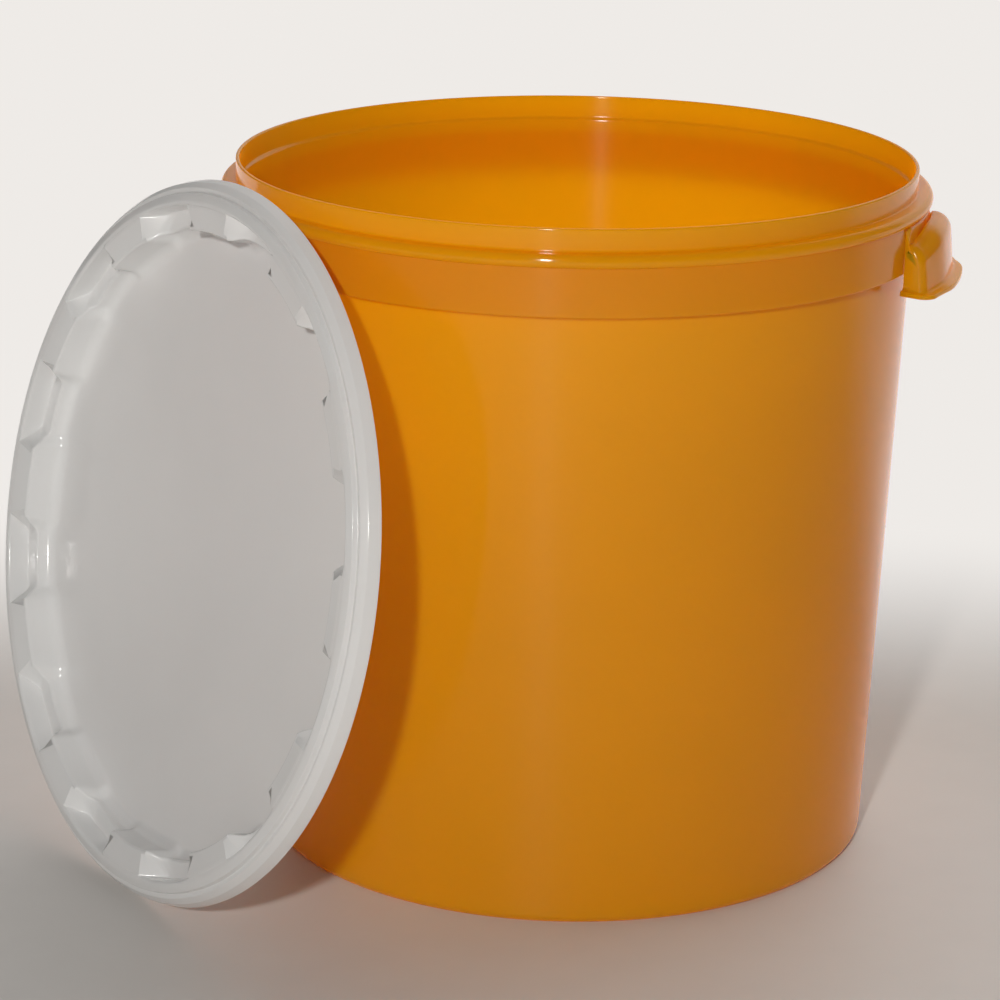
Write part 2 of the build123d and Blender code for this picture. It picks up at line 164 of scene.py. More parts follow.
class PailLidSizes(PropertyGroup):
    """Sizes of the lid, with the lower edge of its skirt at level 0."""

    skin: length("Skin", "Thickness of the lid", 1.5)
    skirt_radius: length("Skirt radius", "Outside radius of the skirt's lower edge", 193.3)
    shoulder_radius: length("Shoulder radius", "Radius of the rim's outer shoulder", 191.25)
    shoulder_level: length("Shoulder level", "Height of the rim's outer shoulder", 6.4)
    shoulder_round: length("Shoulder round", "Round underneath the outer shoulder", 1.0)
    crown_radius: length("Crown radius", "Radius of the rim's upper shoulder", 188.2)
    crown_level: length("Crown level", "Height of the rim's upper shoulder", 9.7)
    crown_round: length("Crown round", "Round on both shoulders of the rim", 0.8)
    gutter_radius: length("Gutter radius", "Radius of the foot of the step on the rim", 185.7)
    gutter_level: length("Gutter level", "Height of the foot of that step", 9.0)
    ridge_radius: length("Ridge radius", "Radius of the top of the step", 185.1)
    ridge_level: length("Ridge level", "Height of the top of the step", 11.9)
    ridge_round: length("Ridge round", "Round at the step's foot and top", 0.5)
    rim_radius: length("Rim radius", "Inner radius of the rim", 179.1)
    rim_level: length("Rim level", "Height of the rim's inner edge", 13.6)
    rim_round: length("Rim round", "Round on the rim's inner edge", 1.8)
    plug_draft: angle("Plug draft", "Taper of the walls inside the rim", 4.0)
    ledge_level: length("Ledge level", "Height of the ledge inside the rim", 0.5)
    ledge_width: length("Ledge width", "Width of that ledge", 9.4)
    ledge_round: length("Ledge round", "Round on the ledge's edge", 1.5)
    tip_row: length("Tip row", "Distance of a row of points from the ledge's edge", 2.0)
    root_row: length("Root row", "Distance of a row of points from the wall behind the ledge", 1.4)
    root_round: length("Root round", "Round between the ledge and the wall behind it", 1.0)
    panel_level: length("Panel level", "Height of the flat panel", -9.0)
    panel_round: length("Panel round", "Round between the wall and the panel", 6.5)
    channel_gap: length("Channel gap", "Room on each side of the tub's lip", 0.4)
    channel_foot: length("Channel foot", "Height of the lower edge of the sealing rings", 2.1)
    fine_round: length("Fine round", "Round on the skirt's edge and on most edges underneath", 0.4)
    pads: count("Pads", "Pads round the rim", 12)
    pad_phase: angle("Pad phase", "Turn of the first pad", 3.0)
    tip_lift: length("Tip lift", "Height of a pad's tip above the ledge", 9.9)
    root_lift: length("Root lift", "Height of a pad's root above the ledge", 12.5)
    pad_reach: length("Pad reach", "How far a pad comes in past the ledge", 3.2)
    pad_half: angle("Pad half angle", "Half the angle of a pad's top", 6.75)
    pad_slope: length("Pad slope", "Run of a pad's sloping end", 9.0)
    pad_flare: amount("Pad flare", "How much wider a pad is at its root than halfway", 0.11)
    support: length("Support", "Distance of the rows that keep the panel flat beside its round", 6.0)
    steps: count("Steps", "Faces across one pad and one pocket", 40)
    crease: angle("Crease", "Edges bent by more than this stay sharp", 35.0)
    azimuth: angle("Azimuth", "Side of the tub that the lid leans on", 214.5)
    lean: angle("Lean", "Lean of the lid from upright", 10.87)
    offset: length("Offset", "Shift of the lid along the tub's side", -24.6)
    stand: length("Stand", "Distance of the lid's middle from the tub's axis", 231.57)


class PailFinish(PropertyGroup):
    """Colours of the two plastics."""

    pail: colour("Pail", "Maize-yellow plastic of the tub and grips", (0.95, 0.575, 0.008))
    lid: colour("Lid", "Off-white plastic of the lid", (0.93, 0.935, 0.935))


class PailStage(PropertyGroup):
    """Floor, backdrop and light."""

    floor: colour("Floor", "Floor round the pail", (0.70, 0.675, 0.65))
    floor_size: length("Floor size", "Side of the floor", 24000.0)
    floor_cells: count("Floor cells", "Faces along a side of the floor", 8)
    fade_start: length("Fade start", "Where the floor starts to turn pale, behind the tub's axis", 120.0)
    fade_end: length("Fade end", "Where the floor is as pale as the backdrop", 560.0)
    backdrop: colour("Backdrop", "Pale distance behind the pail", (0.86, 0.83, 0.80))
    key: amount("Key light", "Power of the key light in watts", 49.0)
    key_tint: colour("Key tint", "Colour of the key light", (1.0, 0.975, 0.94))
    key_turn: angle("Key turn", "How far the key light stands to the left of the camera's side", 9.0)
    key_rise: angle("Key rise", "How steeply the key light shines down", 22.0)
    key_distance: length("Key distance", "From the key light to what it points at", 3200.0)
    key_target: length("Key target", "Level on the tub's axis that the key light points at", 200.0)
    key_size: length("Key size", "Diameter of the key light", 160.0)
    air_tint: colour("Air tint", "Colour of the light from all round", (1.0, 0.985, 0.965))
    fill: amount("Fill light", "Strength of the light from the camera's side", 0.05)
    back: amount("Back light", "Strength of the light from the far side", 2.1)
    near_gloss: amount("Near gloss", "Strength of the camera's side as glossy plastic shows it", 0.02)
    far_gloss: amount("Far gloss", "Strength of the far side as glossy plastic shows it", 0.66)


class PailCamera(PropertyGroup):
    """The photograph's viewpoint."""

    distance: length("Distance", "Camera in front of the tub's axis", 1891.8)
    height: length("Height", "Camera above the floor", 754.0)
    yaw: angle("Yaw", "Turn of the camera to the side", -1.194044)
    pitch: angle("Pitch", "Downward tilt of the camera", 16.775058)
    roll: angle("Roll", "Turn of the camera about its own axis", -0.826549)
    lens: amount("Lens", "Focal length in millimetres", 126.59)
    sensor: amount("Sensor", "Width of the camera's frame in millimetres", 36.0)


def at(radius, turn, level):
    """Point at a radius, a turn about the upright axis and a level."""
    return Vector((radius * math.cos(turn), radius * math.sin(turn), level))


def rounded(corners, support, bend=12.0, fewest=2, longest=8):
    """Outline through corners (radius, level, round), each round drawn as chords of up to bend degrees.

    A straight stretch of more than longest times the support gets one more point near each end, so that the
    long faces beside a round stay flat in their shading.
    """
    outline = []
    for index, (x, y, size) in enumerate(corners):
        here = Vector((x, y))
        if not size or index in (0, len(corners) - 1):
            outline.append([here])
            continue
        back = (Vector(corners[index - 1][:2]) - here).normalized()
        ahead = (Vector(corners[index + 1][:2]) - here).normalized()
        half = back.angle(ahead) / 2
        middle = here + (back + ahead).normalized() * size / math.sin(half)
        first = here + back * size / math.tan(half) - middle
        last = here + ahead * size / math.tan(half) - middle
        turn = first.angle_signed(last)
        chords = max(fewest, math.ceil(abs(turn) / math.radians(bend)))
        arc = []
        for chord in range(chords + 1):
            spoke = first.copy()
            spoke.rotate(Matrix.Rotation(-turn * chord / chords, 2))
            arc.append(middle + spoke)
        outline.append(arc)
    points = []
    for before, after in zip(outline, outline[1:] + [None]):
        points += before
        if after and (after[0] - before[-1]).length > longest * support:
            run = (after[0] - before[-1]).normalized() * support
            points += [before[-1] + run, after[0] - run]
    return points


def leave_edit():
    """Back to object mode with nothing selected."""
    if bpy.context.object and bpy.context.object.mode != "OBJECT":
        bpy.ops.object.mode_set(mode="OBJECT")
    bpy.ops.object.select_all(action="DESELECT")


def choose(piece):
    """Object mode with one piece selected and active."""
    leave_edit()
    piece.select_set(True)
    bpy.context.view_layer.objects.active = piece


def apply_place():
    """Puts the place of the selected piece into its mesh."""
    bpy.ops.object.transform_apply(location=True, rotation=True, scale=True)


def trace(name, points):
    """New piece in edit mode: a chain of edges drawn by extruding one vertex from point to point."""
    leave_edit()
    bpy.ops.mesh.primitive_plane_add(size=MM, location=points[0])
    piece = bpy.context.object
    piece.name = name
    apply_place()
    bpy.ops.object.mode_set(mode="EDIT")
    bpy.context.tool_settings.mesh_select_mode = (True, False, False)
    bpy.ops.mesh.select_all(action="SELECT")
    bpy.ops.mesh.merge(type="CENTER")
    for before, after in zip(points, points[1:]):
        bpy.ops.mesh.extrude_region_move(TRANSFORM_OT_translate={"value": after - before})
    return piece


def pick(piece, test, edges=False):
    """Selects the shown vertices of a piece whose places pass a test, or the edges between such places."""
    bpy.ops.object.mode_set(mode="EDIT")
    bpy.context.tool_settings.mesh_select_mode = (not edges, edges, False)
    bpy.ops.mesh.select_all(action="DESELECT")
    bpy.ops.object.mode_set(mode="OBJECT")
    vertices = piece.data.vertices
    if edges:
        for edge in piece.data.edges:
            edge.select = all(test(vertices[end].co) for end in edge.vertices)
    else:
        for vertex in vertices:
            vertex.select = not vertex.hide and test(vertex.co)
    bpy.ops.object.mode_set(mode="EDIT")


def draw_along(piece, held, moved, transform, falloff, run, **values):
    """Transforms some vertices and draws those around them along, apart from the ones that are held."""
    pick(piece, held)
    bpy.ops.mesh.hide(unselected=False)
    pick(piece, moved)
    transform(use_proportional_edit=True, proportional_edit_falloff=falloff, proportional_size=run, **values)
    bpy.ops.mesh.reveal(select=False)


def spin_all(steps, turn, **values):
    """Spins all of the piece in edit mode about the upright axis."""
    bpy.ops.mesh.select_all(action="SELECT")
    bpy.ops.mesh.spin(steps=steps, angle=turn, center=(0, 0, 0), axis=(0, 0, 1), **values)


def close_up():
    """Merges what coincides all over the piece in edit mode and points its faces outwards."""
    bpy.ops.mesh.select_all(action="SELECT")
    bpy.ops.mesh.remove_doubles(threshold=WELD)
    bpy.ops.mesh.normals_make_consistent(inside=False)


def join(pieces):
    """Joins pieces into the first one."""
    leave_edit()
    for piece in pieces:
        piece.select_set(True)
    bpy.context.view_layer.objects.active = pieces[0]
    bpy.ops.object.join()
    return pieces[0]


def smooth(piece, crease):
    """Smooth shading that stays sharp at edges over an angle."""
    choose(piece)
    bpy.ops.object.shade_smooth_by_angle(angle=crease)


def finish_piece(piece, body, node, material):
    """Gives a piece its material and body, and hides the solid that it stands for."""
    piece.data.materials.clear()
    piece.data.materials.append(material)
    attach(piece, body)
    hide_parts(node)


def empty_tree(owner):
    """Node tree of a material or world, with nothing in it."""
    owner.use_nodes = True
    owner.node_tree.nodes.clear()
    return owner.node_tree


def add_node(tree, kind, place, **values):
    """New shader node at a place in the tree, with its settings and input values."""
    made = tree.nodes.new(kind)
    made.location = place
    for key, value in values.items():
        if key in made.inputs:
            made.inputs[key].default_value = value
        else:
            setattr(made, key, value)
    return made


def noise(tree, place, source, **values):
    """Noise on a coordinate socket."""
    made = add_node(tree, "ShaderNodeTexNoise", place, **values)
    tree.links.new(source, made.inputs["Vector"])
    return made.outputs["Fac"]


def map_range(tree, place, source, limits, results=(0.0, 1.0), way="SMOOTHSTEP"):
    """A socket's value, taken from one pair of limits to another."""
    made = add_node(tree, "ShaderNodeMapRange", place, interpolation_type=way)
    for name, value in zip(("From Min", "From Max", "To Min", "To Max"), (*limits, *results)):
        made.inputs[name].default_value = value
    tree.links.new(source, made.inputs["Value"])
    return made.outputs["Result"]


def tones(tree, place, source, shade, factors, stops=(0.0, 1.0)):
    """Colour ramp from a darker to a paler tone of a shade."""
    made = add_node(tree, "ShaderNodeValToRGB", place)
    for element, factor, stop in zip(made.color_ramp.elements, factors, stops):
        element.color = (*(min(channel * factor, 1.0) for channel in shade), 1.0)
        element.position = stop
    tree.links.new(source, made.inputs["Fac"])
    return made.outputs["Color"]


def combine(tree, place, operation, first, second):
    """Result of a Math node on two sockets."""
    made = add_node(tree, "ShaderNodeMath", place, operation=operation)
    tree.links.new(first, made.inputs[0])
    tree.links.new(second, made.inputs[1])
    return made.outputs["Value"]


def mix_shaders(tree, place, share, first, second):
    """Mix of two shaders, with the second one's share from a socket."""
    made = add_node(tree, "ShaderNodeMixShader", place)
    tree.links.new(share, made.inputs["Fac"])
    tree.links.new(first, made.inputs[1])
    tree.links.new(second, made.inputs[2])
    return made.outputs["Shader"]


def thin_wall(tree, shader, tone, let_through):
    """Shares a tone out between what a shader sends back and what passes through the thin wall behind it."""
    thin = add_node(tree, "ShaderNodeBsdfTranslucent", (600, -450))
    shares = (
        ((0, 350), 1.0 - let_through, shader.inputs["Base Color"]),
        ((0, 200), let_through, thin.inputs["Color"]),
    )
    for place, share, socket in shares:
        part = add_node(tree, "ShaderNodeVectorMath", place, operation="SCALE", Scale=share)
        tree.links.new(tone, part.inputs[0])
        tree.links.new(part.outputs["Vector"], socket)
    wall = add_node(tree, "ShaderNodeAddShader", (800, 0))
    tree.links.new(shader.outputs["BSDF"], wall.inputs[0])
    tree.links.new(thin.outputs["BSDF"], wall.inputs[1])
    return wall.outputs["Shader"]


def moulded_skin(tree, place):
    """Bumps of a moulded surface: fine upright flow lines under a slight ripple."""
    upright = (1.0, 1.0, 0.04)
    drawn_out = add_node(tree, "ShaderNodeMapping", (-800, -300), Scale=upright)
    tree.links.new(place, drawn_out.inputs["Vector"])
    flow = noise(tree, (-600, -300), drawn_out.outputs["Vector"], Scale=260.0, Detail=2.0)
    ripple = noise(tree, (-600, -550), place, Scale=900.0, Detail=1.0)
    lines = add_node(tree, "ShaderNodeBump", (-100, -300), Strength=0.06, Distance=0.2 * MM)
    skin = add_node(tree, "ShaderNodeBump", (200, -300), Strength=0.05, Distance=0.08 * MM)
    tree.links.new(flow, lines.inputs["Height"])
    tree.links.new(ripple, skin.inputs["Height"])
    tree.links.new(lines.outputs["Normal"], skin.inputs["Normal"])
    return skin.outputs["Normal"]


def moulded_plastic(name, shade, rough, gloss_spread, let_through, streak):
    """Moulded plastic: faint cloudiness, uneven gloss, fine flow lines and a slightly rippled skin.

    The thin wall lets a share of the light through. Fine lines round the upright axis draw highlights out
    into upright streaks.
    """
    made = bpy.data.materials.get(name)
    if made:
        return made
    shine = 0.27
    quarter_turn = 0.25
    cloud_tones = (0.985, 1.012)
    cloud_stops = (0.35, 0.65)
    smear_limits = (0.3, 0.7)
    made = bpy.data.materials.new(name)
    tree = empty_tree(made)
    link = tree.links.new
    out = add_node(tree, "ShaderNodeOutputMaterial", (1000, 0))
    shader = add_node(tree, "ShaderNodeBsdfPrincipled", (600, 0), IOR=1.49, Anisotropic=streak)
    shader.inputs["Specular IOR Level"].default_value = shine
    shader.inputs["Anisotropic Rotation"].default_value = quarter_turn
    around = add_node(tree, "ShaderNodeTangent", (300, -550), direction_type="RADIAL", axis="Z")
    link(around.outputs["Tangent"], shader.inputs["Tangent"])
    place = add_node(tree, "ShaderNodeTexCoord", (-1000, 0)).outputs["Object"]

    cloud = noise(tree, (-600, 300), place, Scale=7.0, Detail=3.0, Roughness=0.55)
    tone = tones(tree, (-300, 300), cloud, shade, cloud_tones, cloud_stops)
    link(thin_wall(tree, shader, tone, let_through), out.inputs["Surface"])

    smear = noise(tree, (-600, 0), place, Scale=35.0, Detail=4.0, Roughness=0.6)
    spread = (rough - gloss_spread, rough + gloss_spread)
    gloss = map_range(tree, (-300, 0), smear, smear_limits, spread, "LINEAR")
    link(gloss, shader.inputs["Roughness"])
    link(moulded_skin(tree, place), shader.inputs["Normal"])
    return made


def pail_plastic():
    """Glossy maize-yellow plastic of the tub and grips."""
    shade = tuple(bpy.context.scene.pail_finish.pail)
    return moulded_plastic(
        "maize_moulding", shade, rough=0.14, gloss_spread=0.012, let_through=0.64, streak=0.97
    )


def lid_plastic():
    """Satin off-white plastic of the lid."""
    shade = tuple(bpy.context.scene.pail_finish.lid)
    return moulded_plastic(
        "off_white_moulding", shade, rough=0.14, gloss_spread=0.03, let_through=0.24, streak=0.0
    )


class PAIL_OT_tub(Operator):
    """Tapered tub with its lip, bead and hanging collar"""

    bl_idname = "pail.tub"
    bl_label = "Tub"

    def wall_at(self, sizes, level):
        """Outside radius of the wall at a level."""
        return sizes.base_radius + level * math.tan(sizes.draft)

    def web_level(self, sizes):
        """Level of the underside of the web that carries the collar."""
        return sizes.height - sizes.seat - sizes.web_drop

    def bead(self, sizes, middle, foot):
        """Points round the bead's section, from its top to a level near its lowest point."""
        top_turn = math.pi / 2
        last_turn = math.asin((foot - middle.y) / sizes.bead_round)
        points = []
        for chord in range(1, sizes.bead_chords + 1):
            turn = top_turn + (last_turn - top_turn) * chord / sizes.bead_chords
            points.append(middle + sizes.bead_round * Vector((math.cos(turn), math.sin(turn))))
        return points

    def shell(self, sizes):
        """Wall, floor, lip and bead, spun about the axis."""
        bead_top = sizes.height - sizes.seat
        bead_middle = Vector((sizes.bead_radius - sizes.bead_round, bead_top - sizes.bead_round))
        bead_foot = bead_middle.y - sizes.bead_round + sizes.bead_cut
        web = self.web_level(sizes)
        web_edge = sizes.collar_radius - sizes.collar_wall - sizes.web_inset
        step_top = sizes.height - sizes.step_drop
        step_foot = step_top - sizes.step_height
        lip_inner = sizes.lip_radius - sizes.lip_wall
        inside = [
            (0, sizes.floor, 0),
            (self.wall_at(sizes, sizes.floor) - sizes.wall, sizes.floor, sizes.floor_round),
            (self.wall_at(sizes, step_foot) - sizes.wall, step_foot, sizes.step_round),
            (lip_inner, step_top, sizes.step_round),
            (lip_inner, sizes.height, sizes.lip_round),
            (sizes.lip_radius, sizes.height, sizes.lip_round),
            (sizes.lip_radius - sizes.seat_flare, bead_top, sizes.seat_round),
            (bead_middle.x, bead_top, 0),
        ]
        outside = [
            (web_edge, bead_foot, 0),
            (web_edge, web, 0),
            (self.wall_at(sizes, web), web, sizes.web_round),
            (sizes.base_radius, 0, sizes.base_round),
            (0, 0, 0),
        ]
        outline = rounded(inside, sizes.support)
        outline += self.bead(sizes, bead_middle, bead_foot)
        outline += rounded(outside, sizes.support)
        piece = trace("pail_tub", [Vector((point.x, 0, point.y)) for point in outline])
        spin_all(sizes.steps, 2 * math.pi)
        close_up()
        return piece

    def collar(self, sizes, start):
        """One hanging half of the collar, with rounded ends."""
        arc = math.pi - 2 * sizes.window_half
        foot = sizes.height - sizes.collar_drop
        top = self.web_level(sizes) + sizes.collar_lap
        inner = sizes.collar_radius - sizes.collar_wall
        corners = [
            (sizes.collar_radius, top, 0),
            (sizes.collar_radius, foot, sizes.collar_round),
            (inner, foot, sizes.collar_round),
            (inner, top, 0),
        ]
        outline = rounded(corners, sizes.collar_support)
        piece = trace("pail_collar", [at(point.x, start, point.y) for point in outline])
        pick(piece, lambda place: place.z > top - NEAR)
        bpy.ops.mesh.edge_face_add()
        spin_all(sizes.steps // 2, -arc)
        bpy.ops.mesh.select_all(action="SELECT")
        bpy.ops.mesh.fill_holes(sides=0)
        close_up()
        ends = [at(1, start, 0), at(1, start + arc, 0)]

        def on_end(place):
            outward = Vector((place.x, place.y, 0)).normalized()
            return any(outward.dot(end) > ONE_WAY for end in ends)

        pick(piece, on_end, edges=True)
        bpy.ops.mesh.bevel(
            offset=sizes.collar_round, offset_type="OFFSET", segments=sizes.collar_chords, affect="EDGES"
        )
        close_up()
        return piece

    def cheek(self, sizes, turn):
        """Plate that closes the collar beside a grip."""
        foot = sizes.height - sizes.collar_drop + sizes.collar_round
        top = self.web_level(sizes) + sizes.cheek_lap
        inner = self.wall_at(sizes, foot) - sizes.cheek_inset
        outer = sizes.collar_radius - sizes.cheek_inset
        leave_edit()
        bpy.ops.mesh.primitive_cube_add(
            size=1.0,
            location=at((inner + outer) / 2, turn, (foot + top) / 2),
            rotation=(0, 0, turn),
            scale=(outer - inner, sizes.cheek, top - foot),
        )
        piece = bpy.context.object
        piece.name = "pail_cheek"
        apply_place()
        bpy.ops.object.mode_set(mode="EDIT")
        bpy.ops.mesh.select_all(action="SELECT")
        bpy.ops.mesh.bevel(offset=sizes.cheek_round, segments=sizes.cheek_chords, affect="EDGES")
        return piece

    def execute(self, context):
        sizes = context.scene.pail_tub
        pieces = [self.shell(sizes)]
        half = sizes.window_half
        lean_in = sizes.cheek / sizes.collar_radius / 2
        for side in (sizes.window_azimuth, sizes.window_azimuth + math.pi):
            pieces.append(self.collar(sizes, side + half))
            pieces.append(self.cheek(sizes, side + half + lean_in))
            pieces.append(self.cheek(sizes, side - half - lean_in))
        tub = join(pieces)
        smooth(tub, sizes.crease)
        finish_piece(tub, "tub", "tub", pail_plastic())
        return {"FINISHED"}


class PAIL_OT_grips(Operator):
    """Fold-out grips, shaped once from a copy of the right one's solid"""

    bl_idname = "pail.grips"
    bl_label = "Grips"

    def shape(self, grip, sizes, middle):
        """Lets the foot down and rounds the dome off towards both ends."""

        def nowhere(place):
            return False

        def on_foot(place):
            return place.z < sizes.foot_level

        def on_neck(place):
            return place.xy.length < sizes.hump_radius

        def move(held, moved, value, falloff, run):
            draw_along(grip, held, moved, bpy.ops.transform.translate, falloff, run, value=value)

        move(nowhere, on_foot, (0, 0, -sizes.foot_drop), "LINEAR", sizes.foot_run)
        for side in (-1, 1):
            inward = at(-sizes.end_inset, middle + side * sizes.end_half, 0)

            def near_end(place):
                return side * (math.atan2(place.y, place.x) - middle) > sizes.end_half

            def on_dome(place):
                return near_end(place) and place.z > sizes.end_level

            def on_corner(place):
                return near_end(place) and place.xy.length > sizes.corner_radius

            move(on_neck, on_dome, (0, 0, -sizes.end_drop), "SMOOTH", sizes.end_run)
            move(on_neck, on_corner, inward, "SMOOTH", sizes.end_run)

    def execute(self, context):
        sizes = context.scene.pail_grip
        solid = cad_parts["right_grip"]
        right = bpy.data.objects.new("pail_right_grip", solid.data.copy())
        context.collection.objects.link(right)
        choose(right)
        bpy.ops.object.mode_set(mode="EDIT")
        bpy.ops.mesh.select_all(action="SELECT")
        bpy.ops.mesh.remove_doubles(threshold=FINE_WELD)
        self.shape(right, sizes, context.scene.pail_tub.window_azimuth)
        smooth(right, sizes.crease)
        bpy.ops.object.duplicate()
        left = context.object
        left.name = "pail_left_grip"
        left.rotation_euler.z = math.pi
        apply_place()
        finish_piece(right, "right_grip", "right_grip", pail_plastic())
        finish_piece(left, "left_grip", "left_grip", pail_plastic())
        return {"FINISHED"}


class PAIL_OT_lid(Operator):
    """Castellated lid, drawn flat and then leant against the tub"""

    bl_idname = "pail.lid"
    bl_label = "Lid"

    def ledge_root(self, sizes):
        """Radius of the foot of the wall behind the ledge."""
        return sizes.rim_radius - (sizes.rim_level - sizes.ledge_level) * math.tan(sizes.plug_draft)

    def outline(self, sizes, tub):
        """Section of the lid from the middle of its panel round the skirt and back underneath."""
        skin = sizes.skin
        fine = sizes.fine_round
        foot = sizes.channel_foot
        ledge_outer = self.ledge_root(sizes)
        ledge_inner = ledge_outer - sizes.ledge_width
        panel_edge = ledge_inner - (sizes.ledge_level - sizes.panel_level) * math.tan(sizes.plug_draft)
        ring_in = tub.lip_radius - tub.lip_wall - sizes.channel_gap
        ring_out = tub.lip_radius + sizes.channel_gap
        under_gutter = sizes.gutter_level - skin
        above = [
            (0, sizes.panel_level, 0),
            (panel_edge, sizes.panel_level, sizes.panel_round),
            (ledge_inner, sizes.ledge_level, sizes.ledge_round),
            (ledge_inner + sizes.tip_row, sizes.ledge_level, 0),
            (ledge_outer - sizes.root_row, sizes.ledge_level, 0),
            (ledge_outer, sizes.ledge_level, sizes.root_round),
            (sizes.rim_radius, sizes.rim_level, sizes.rim_round),
            (sizes.ridge_radius, sizes.ridge_level, sizes.ridge_round),
            (sizes.gutter_radius, sizes.gutter_level, sizes.ridge_round),
            (sizes.crown_radius, sizes.crown_level, sizes.crown_round),
            (sizes.shoulder_radius, sizes.shoulder_level, sizes.crown_round),
            (sizes.skirt_radius, 0, fine),
        ]
        below = [
            (sizes.skirt_radius - skin, 0, fine),
            (sizes.shoulder_radius - skin, sizes.shoulder_level - skin / 2, sizes.shoulder_round),
            (ring_out + skin, under_gutter, fine),
            (ring_out + skin, foot, fine),
            (ring_out, foot, fine),
            (ring_out, under_gutter, fine),
            (ring_in, under_gutter, fine),
            (ring_in, foot, fine),
            (ring_in - skin, foot, fine),
            (ring_in - skin, sizes.rim_level - skin, fine),
            (sizes.rim_radius + skin, sizes.rim_level - skin, fine),
            (ledge_outer + skin, sizes.ledge_level - skin, fine),
            (ledge_inner + skin, sizes.ledge_level - skin, fine),
            (panel_edge + skin, sizes.panel_level - skin, sizes.panel_round + skin),
            (0, sizes.panel_level - skin, 0),
        ]
        return rounded(above + below, sizes.support)

    def raise_pad(self, lid, sizes):
        """Pulls the ledge about +X up into a pad whose top falls away from the rim, with sloping ends.

        A band gives the lowest and highest distance from a level or radius of the rows of points that a move
        takes along.
        """
        root = self.ledge_root(sizes)
        tip = root - sizes.ledge_width
        ledge_band = (-2.2 * MM, 2.5 * MM)
        tip_band = (-1.0 * MM, 4.0 * MM)
        root_band = (-3.0 * MM, 2.2 * MM)
        foot_band = (-8.0 * MM, 2.2 * MM)
        rim_band = (-0.6 * MM, 2.7 * MM)
        rim_drop = 2.37 * MM
        rim_tilt = 0.65
        half_slack = 0.001
        near_half = 1.5 * sizes.pad_half
        wide_run = 1.6 * sizes.pad_slope
        root_squash = 0.1
        rim_squash = 0.05

        def within(value, band):
            return band[0] < value < band[1]

        def near_ledge(place):
            return within(place.z - sizes.ledge_level, ledge_band)

        def tip_rows(place):
            return near_ledge(place) and within(place.xy.length - tip, tip_band)

        def root_rows(place):
            return near_ledge(place) and within(place.xy.length - root, root_band)

        def foot_rows(place):
            return within(place.xy.length - tip, foot_band)

        def rim_rows(place):
            """Rows on the rim's inner edge, down to a line that rises outwards."""
            run = place.xy.length - sizes.rim_radius
            return within(run, rim_band) and place.z > sizes.rim_level - rim_drop + rim_tilt * run

        def on_pad(place):
            return abs(math.atan2(place.y, place.x)) < sizes.pad_half + half_slack

        def near_pad(place):
            return abs(math.atan2(place.y, place.x)) < near_half

        def stretch(rows, plan, value, level, run, falloff):
            draw_along(
                lid,
                lambda place: not rows(place),
                plan,
                bpy.ops.transform.resize,
                falloff,
                run,
                value=value,
                center_override=(0, 0, level),
            )

        def shift(rows, value, falloff):
            draw_along(
                lid,
                lambda place: not rows(place),
                on_pad,
                bpy.ops.transform.translate,
                falloff,
                sizes.pad_slope,
                value=value,
            )

        ledge = sizes.ledge_level
        stretch(tip_rows, near_pad, (1, 1 - sizes.pad_flare, 1), ledge, wide_run, "SMOOTH")
        stretch(root_rows, near_pad, (1, 1 + sizes.pad_flare, 1), ledge, wide_run, "SMOOTH")
        stretch(root_rows, on_pad, (1, 1, root_squash), ledge, sizes.pad_slope, "LINEAR")
        shift(tip_rows, (0, 0, sizes.tip_lift), "LINEAR")
        shift(root_rows, (0, 0, sizes.root_lift), "LINEAR")
        shift(foot_rows, (-sizes.pad_reach, 0, 0), "SMOOTH")
        stretch(rim_rows, on_pad, (1, 1, rim_squash), ledge + sizes.root_lift, sizes.pad_slope, "LINEAR")

    def lean(self, lid, sizes):
        """Stands the flat lid on the lower edge of its skirt and leans it against the tub."""
        away = at(1, sizes.azimuth, 0)
        along = at(1, sizes.azimuth + math.pi / 2, 0)
        normal = away * math.cos(sizes.lean) + Vector((0, 0, math.sin(sizes.lean)))
        rise = normal.cross(along)
        middle = away * sizes.stand + along * sizes.offset
        middle.z = sizes.skirt_radius * math.cos(sizes.lean)
        turned = Matrix((along, rise, normal)).transposed() @ Matrix.Rotation(sizes.pad_phase, 3, "Z")
        choose(lid)
        lid.matrix_world = Matrix.Translation(middle) @ turned.to_4x4()
        apply_place()

    def execute(self, context):
        sizes = context.scene.pail_lid
        pitch = 2 * math.pi / sizes.pads
        outline = self.outline(sizes, context.scene.pail_tub)
        lid = trace("pail_lid", [at(point.x, -pitch / 2, point.y) for point in outline])
        spin_all(sizes.steps, -pitch)
        close_up()
        self.raise_pad(lid, sizes)
        spin_all(sizes.pads, 2 * math.pi, dupli=True, use_auto_merge=False)
        close_up()
        self.lean(lid, sizes)
        smooth(lid, sizes.crease)
        finish_piece(lid, "lid", "lid", lid_plastic())
        return {"FINISHED"}


